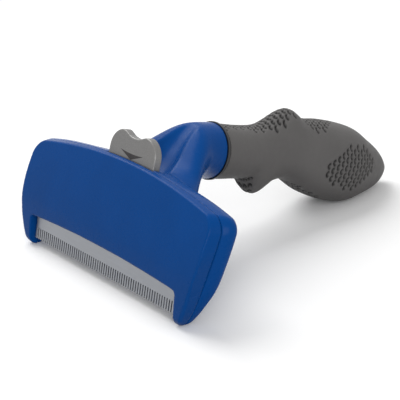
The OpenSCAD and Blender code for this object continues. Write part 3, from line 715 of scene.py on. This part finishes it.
# ---------------------------------------------------------------- springs and the button's arrow
def make_spring(name, x):
    """A return spring round its guide pin: eight turns, the two end turns closed."""
    turns, wire_r, sides = 8, 0.25, 10
    low, high = spring_box[0][2] + wire_r, spring_box[1][2] - wire_r
    coil_r = (spring_box[1][0] - spring_box[0][0]) / 2 - wire_r
    t = np.linspace(0, turns, turns * 36 + 1)
    closed = 2.2 * wire_r
    height = np.interp(t, [0, 1, turns - 1, turns], [low, low + closed, high - closed, high])
    a = 2 * math.pi * t[:, None]
    b = np.linspace(0, 2 * math.pi, sides, endpoint=False)[None, :]
    r = coil_r + wire_r * np.cos(b)
    around = (x + r * np.cos(a), PIN_U + r * np.sin(a), height[:, None] + wire_r * np.sin(b))
    rings = np.stack(np.broadcast_arrays(*around), -1)
    ends = [[[x + coil_r, PIN_U, low]], [[x + coil_r * math.cos(a[-1, 0]), PIN_U, high]]]
    points = np.concatenate([rings.reshape(-1, 3), *ends])
    k = np.arange(sides)
    n = (k + 1) % sides
    faces = [tuple(f) for f in tube_walls(len(t), sides)]
    last = (len(t) - 1) * sides
    faces += [(i, len(points) - 2, j) for i, j in zip(n, k)]
    faces += [(last + i, len(points) - 1, last + j) for i, j in zip(k, n)]
    return from_faces(name, points, faces)


def arrow_field(x, u, v):
    """A thin inlaid arrowhead that points down at the button's foot."""
    half_w, tall = 7.6, 2.9
    side = (np.abs(x) * tall - (v - HEAD_H + 0.1) * half_w) / math.hypot(tall, half_w)
    d = np.maximum(side, v - HEAD_H - tall + 0.5 * (1 - (x / half_w) ** 2))
    return np.maximum(d, slab(u, BUTTON_U - 0.05, BUTTON_U + 0.15))


# ---------------------------------------------------------------- materials
def material(name, color, roughness, metallic=0.0, specular=0.5):
    """A Principled material, with its shader and its mesh coordinates at hand."""
    m = bpy.data.materials.new(name)
    m.use_nodes = True
    tree = m.node_tree
    shader = tree.nodes["Principled BSDF"]
    shader.inputs["Base Color"].default_value = (*color, 1)
    shader.inputs["Roughness"].default_value = roughness
    shader.inputs["Metallic"].default_value = metallic
    shader.inputs["Specular IOR Level"].default_value = specular
    coords = tree.nodes.new("ShaderNodeTexCoord").outputs["Object"]
    return m, tree, shader, coords


def noise(tree, coords, scale, detail, stretch=(1, 1, 1)):
    """A noise's values at the mesh's own coordinates, drawn out by stretch."""
    mapping = tree.nodes.new("ShaderNodeMapping")
    mapping.inputs["Scale"].default_value = stretch
    tree.links.new(coords, mapping.inputs["Vector"])
    n = tree.nodes.new("ShaderNodeTexNoise")
    n.inputs["Scale"].default_value = scale
    n.inputs["Detail"].default_value = detail
    tree.links.new(mapping.outputs["Vector"], n.inputs["Vector"])
    return n.outputs["Fac"]


def spread_values(tree, value, low, high):
    """A noise's usual values, spread from low to high."""
    r = tree.nodes.new("ShaderNodeMapRange")
    r.inputs["From Min"].default_value = 0.3
    r.inputs["From Max"].default_value = 0.7
    r.inputs["To Min"].default_value = low
    r.inputs["To Max"].default_value = high
    tree.links.new(value, r.inputs["Value"])
    return r.outputs["Result"]


def two_colors(tree, value, a, b):
    """A colour between a and b, by a noise's values."""
    ramp = tree.nodes.new("ShaderNodeValToRGB")
    ramp.color_ramp.elements[0].position = 0.3
    ramp.color_ramp.elements[1].position = 0.7
    ramp.color_ramp.elements[0].color = (*a, 1)
    ramp.color_ramp.elements[1].color = (*b, 1)
    tree.links.new(value, ramp.inputs["Fac"])
    return ramp.outputs["Color"]


def bump(tree, shader, value, strength, distance):
    """A fine relief on a shader, by a noise's values."""
    b = tree.nodes.new("ShaderNodeBump")
    b.inputs["Strength"].default_value = strength
    b.inputs["Distance"].default_value = distance
    tree.links.new(value, b.inputs["Height"])
    tree.links.new(b.outputs["Normal"], shader.inputs["Normal"])


def shade(c, k):
    """A colour made k times as bright."""
    return tuple(k * x for x in c)


def moulded_plastic(name, color, roughness, specular=0.5):
    """Satin moulded plastic: a faint cloudiness, uneven gloss and a very fine grain."""
    m, tree, shader, coords = material(name, color, roughness, specular=specular)
    cloud = noise(tree, coords, 60, 2)
    cloudy = two_colors(tree, cloud, shade(color, 0.96), shade(color, 1.04))
    tree.links.new(cloudy, shader.inputs["Base Color"])
    gloss = noise(tree, coords, 220, 4)
    tree.links.new(spread_values(tree, gloss, roughness - 0.03, roughness + 0.04), shader.inputs["Roughness"])
    bump(tree, shader, noise(tree, coords, 3500, 2), 0.06, 0.00005)
    return m


def rubber(name, color):
    """Soft matt rubber with a faint dusty bloom, a fine pitted grain and painted shade in its grooves."""
    m, tree, shader, coords = material(name, color, 0.6, specular=0.35)
    bloom = noise(tree, coords, 45, 4)
    groove = tree.nodes.new("ShaderNodeAttribute")
    groove.attribute_name = "groove"
    # Painted shade: the groove depth darkens the base colour to 3 % of itself, standing in for the shade that
    # falls in the grooves.
    mix = tree.nodes.new("ShaderNodeMix")
    mix.data_type = "RGBA"
    tree.links.new(groove.outputs["Fac"], mix.inputs["Factor"])
    tree.links.new(two_colors(tree, bloom, shade(color, 0.93), shade(color, 1.07)), mix.inputs["A"])
    mix.inputs["B"].default_value = (*shade(color, 0.03), 1)
    tree.links.new(mix.outputs["Result"], shader.inputs["Base Color"])
    tree.links.new(spread_values(tree, noise(tree, coords, 500, 4), 0.55, 0.68), shader.inputs["Roughness"])
    bump(tree, shader, noise(tree, coords, 2600, 3), 0.25, 0.0001)
    return m


def ground_steel(name, color, roughness, along=(1, 1, 1), scale=900):
    """Steel with fine grinding lines along one direction."""
    m, tree, shader, coords = material(name, color, roughness, metallic=1.0)
    lines = noise(tree, coords, scale, 4, along)
    lined = two_colors(tree, lines, shade(color, 0.92), shade(color, 1.06))
    tree.links.new(lined, shader.inputs["Base Color"])
    tree.links.new(spread_values(tree, lines, roughness - 0.06, roughness + 0.1), shader.inputs["Roughness"])
    bump(tree, shader, lines, 0.12, 0.00003)
    return m


def silver_paint(name, color):
    """Silver-grey painted plastic with a fine metallic grain."""
    m, tree, shader, coords = material(name, color, 0.38, metallic=0.55)
    flake = noise(tree, coords, 2400, 2)
    flaked = two_colors(tree, flake, shade(color, 0.86), shade(color, 1.12))
    tree.links.new(flaked, shader.inputs["Base Color"])
    tree.links.new(spread_values(tree, flake, 0.34, 0.44), shader.inputs["Roughness"])
    bump(tree, shader, flake, 0.08, 0.00003)
    return m


BLUE = (0.0008, 0.056, 0.245)
blue_plastic = moulded_plastic("head_blue", BLUE, 0.26, specular=0.07)
grip_rubber = rubber("grip_rubber", (0.102, 0.098, 0.096))
blade_steel = ground_steel("blade_steel", (0.28, 0.29, 0.31), 0.34, (0.08, 1, 1), 1500)
plated_steel = ground_steel("plated_steel", (0.6, 0.6, 0.62), 0.25, (1, 1, 1), 400)
spring_steel = ground_steel("spring_steel", (0.5, 0.5, 0.52), 0.22, (1, 1, 1), 700)
button_paint = silver_paint("button_grey", (0.2, 0.197, 0.193))
ring_plastic = moulded_plastic("ring_black", (0.012, 0.012, 0.014), 0.35)
plate_plastic = moulded_plastic("plate_plastic", (0.05, 0.05, 0.055), 0.5)
core_plastic = moulded_plastic("core_plastic", (0.035, 0.035, 0.038), 0.55)
arrow_ink = moulded_plastic("arrow_ink", (0.012, 0.009, 0.009), 0.5)


def paint(obj, m):
    """Give an object one material, in every slot that it has."""
    if not obj.material_slots:
        obj.data.materials.append(m)
    for s in obj.material_slots:
        s.material = m


def piece(obj, body, slot, m, *nodes):
    """Finish a piece: its material, its body and the CAD nodes that it stands for, which are hidden; slot is
    not used.
    """
    paint(obj, m)
    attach(obj, body)
    if nodes:
        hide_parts(*nodes)
    return obj


# ---------------------------------------------------------------- the pieces
HANDLE, EJECTOR = "handle_and_head", "ejector"
cell = 0.5
edge = HALF_W + 4

points, quads = surface(front_field, (-edge, -7, -6), (edge, SEAM + 2, HEAD_H + 3), cell)
piece(from_quads("front_shell_skin", points, quads), HANDLE, "head_blue", blue_plastic, "front_shell")

points, quads = surface(rear_field, (-edge, SEAM - 2, -6), (edge, RING_U + 17, 73), cell)
piece(from_quads("rear_shell_skin", points, quads), HANDLE, "head_blue", blue_plastic, "rear_shell")

low = (-EAR_X - 5, plate_box[1][1] - 2, button_box[0][2] - 2)
high = (EAR_X + 5, button_box[1][1] + 2, BUTTON_TOP + 2)
points, quads = surface(button_field, low, high, 0.3)
button = from_quads("ejector_button_skin", points, quads)
piece(button, EJECTOR, "button_grey", button_paint, "ejector_button")

low = (-9, BUTTON_U - 0.5, HEAD_H - 2)
high = (9, BUTTON_U + 0.7, HEAD_H + 4)
points, quads = surface(arrow_field, low, high, 0.1)
piece(from_quads("button_arrow", points, quads), EJECTOR, "button_grey", arrow_ink)

piece(make_grip(), HANDLE, "grip_rubber", grip_rubber, "grip")

for name, x in (("left", -EAR_X), ("right", EAR_X)):
    spring = make_spring("return_spring_coil_" + name, x)
    piece(spring, HANDLE, "screw_steel", spring_steel, "return_spring_" + name)
    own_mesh(spring)

for name, m in (
    ("blade", blade_steel), ("blade_screws", plated_steel), ("shell_screws", plated_steel),
    ("button_screws", plated_steel), ("core_screws", plated_steel), ("guide_pin_left", plated_steel),
    ("guide_pin_right", plated_steel), ("ejector_plate", plate_plastic), ("neck_ring", ring_plastic),
    ("handle_core_left", core_plastic), ("handle_core_right", core_plastic),
):
    paint(frame["nodes"][name], m)


# ---------------------------------------------------------------- floor, lights and camera
def light_path_mix(tree, plain, bright, *rays):
    """A shader that is bright for the named kinds of ray and plain for the rest."""
    path = tree.nodes.new("ShaderNodeLightPath")
    mix = tree.nodes.new("ShaderNodeMixShader")
    factor = path.outputs[rays[0]]
    for ray in rays[1:]:
        both = tree.nodes.new("ShaderNodeMath")
        both.operation = "MAXIMUM"
        tree.links.new(factor, both.inputs[0])
        tree.links.new(path.outputs[ray], both.inputs[1])
        factor = both.outputs[0]
    tree.links.new(factor, mix.inputs["Fac"])
    tree.links.new(plain.outputs[0], mix.inputs[1])
    tree.links.new(bright.outputs[0], mix.inputs[2])
    return mix.outputs[0]


def make_floor():
    """A pale floor: the camera sees it white with the tool's shadow, which fades out away from the tool."""
    size = 4.0
    corners = [(-size, -size, 0), (size, -size, 0), (size, size, 0), (-size, size, 0)]
    mesh = bpy.data.meshes.new("floor")
    mesh.from_pydata(corners, [], [(0, 1, 2, 3)])
    obj = bpy.data.objects.new("floor", mesh)
    bpy.context.scene.collection.objects.link(obj)
    m = bpy.data.materials.new("floor")
    m.use_nodes = True
    tree = m.node_tree
    tree.nodes.remove(tree.nodes["Principled BSDF"])
    plain = tree.nodes.new("ShaderNodeBsdfDiffuse")
    plain.inputs["Color"].default_value = (0.36, 0.36, 0.37, 1)
    bright = tree.nodes.new("ShaderNodeBsdfDiffuse")
    bright.inputs["Color"].default_value = (1.0, 1.0, 1.0, 1)
    glow = tree.nodes.new("ShaderNodeEmission")
    away = tree.nodes.new("ShaderNodeVectorMath")
    away.operation = "LENGTH"
    tree.links.new(tree.nodes.new("ShaderNodeTexCoord").outputs["Object"], away.inputs[0])
    fade = tree.nodes.new("ShaderNodeMapRange")
    fade.inputs["From Min"].default_value = 0.2
    fade.inputs["From Max"].default_value = 0.5
    tree.links.new(away.outputs["Value"], fade.inputs["Value"])
    paler = tree.nodes.new("ShaderNodeMixShader")
    tree.links.new(fade.outputs["Result"], paler.inputs["Fac"])
    tree.links.new(bright.outputs[0], paler.inputs[1])
    tree.links.new(glow.outputs[0], paler.inputs[2])
    out = light_path_mix(tree, plain, paler, "Is Camera Ray", "Is Glossy Ray", "Is Transmission Ray")
    tree.links.new(out, tree.nodes["Material Output"].inputs["Surface"])
    obj.data.materials.append(m)


def make_world():
    """An even studio light all round, which the camera sees as white."""
    world = bpy.data.worlds.new("studio")
    bpy.context.scene.world = world
    world.use_nodes = True
    tree = world.node_tree
    plain = tree.nodes["Background"]
    plain.inputs["Color"].default_value = (1, 1, 1, 1)
    plain.inputs["Strength"].default_value = 0.5
    bright = tree.nodes.new("ShaderNodeBackground")
    bright.inputs["Color"].default_value = (1, 1, 1, 1)
    bright.inputs["Strength"].default_value = 1.0
    out = light_path_mix(tree, plain, bright, "Is Camera Ray", "Is Glossy Ray", "Is Transmission Ray")
    tree.links.new(out, tree.nodes["World Output"].inputs["Surface"])


def make_lamp(name, place, aim, size, power):
    """A square softbox that faces a point."""
    light = bpy.data.lights.new(name, "AREA")
    light.shape = "SQUARE"
    light.size = size
    light.energy = power
    obj = bpy.data.objects.new(name, light)
    obj.location = place
    obj.rotation_euler = (Vector(aim) - Vector(place)).to_track_quat("-Z", "Y").to_euler()
    bpy.context.scene.collection.objects.link(obj)


def make_camera():
    """The camera: it looks at a point in the tool's middle plane, from the right and above."""
    azimuth, elevation, roll = math.radians(51.86), math.radians(22.51), math.radians(-1.91)
    distance, lens = 0.59674, 118.9
    target = Vector((-0.0101, -0.0210, 0.0166))
    level = Vector((math.sin(azimuth), -math.cos(azimuth), 0)) * math.cos(elevation)
    back = level + Vector((0, 0, math.sin(elevation)))
    right = Vector((math.cos(azimuth), math.sin(azimuth), 0))
    up = back.cross(right)
    tilted_right = right * math.cos(roll) + up * math.sin(roll)
    tilted_up = up * math.cos(roll) - right * math.sin(roll)
    turn = Matrix((tilted_right, tilted_up, back)).transposed()
    camera = bpy.data.cameras.new("camera")
    camera.lens = lens
    camera.sensor_width = 36
    camera.clip_start = 0.01
    obj = bpy.data.objects.new("camera", camera)
    obj.matrix_world = Matrix.Translation(target + back * distance) @ turn.to_4x4()
    bpy.context.scene.collection.objects.link(obj)
    bpy.context.scene.camera = obj


make_floor()
make_world()
make_lamp("top_softbox", (-0.6, 0.0, 0.85), (0, 0, 0.02), 0.8, 7.5)
make_lamp("front_softbox", (0.85, -0.45, 0.4), (0, 0, 0.02), 0.7, 4.8)
make_camera()
bpy.context.scene.view_settings.view_transform = "Standard"

bpy.context.view_layer.update()
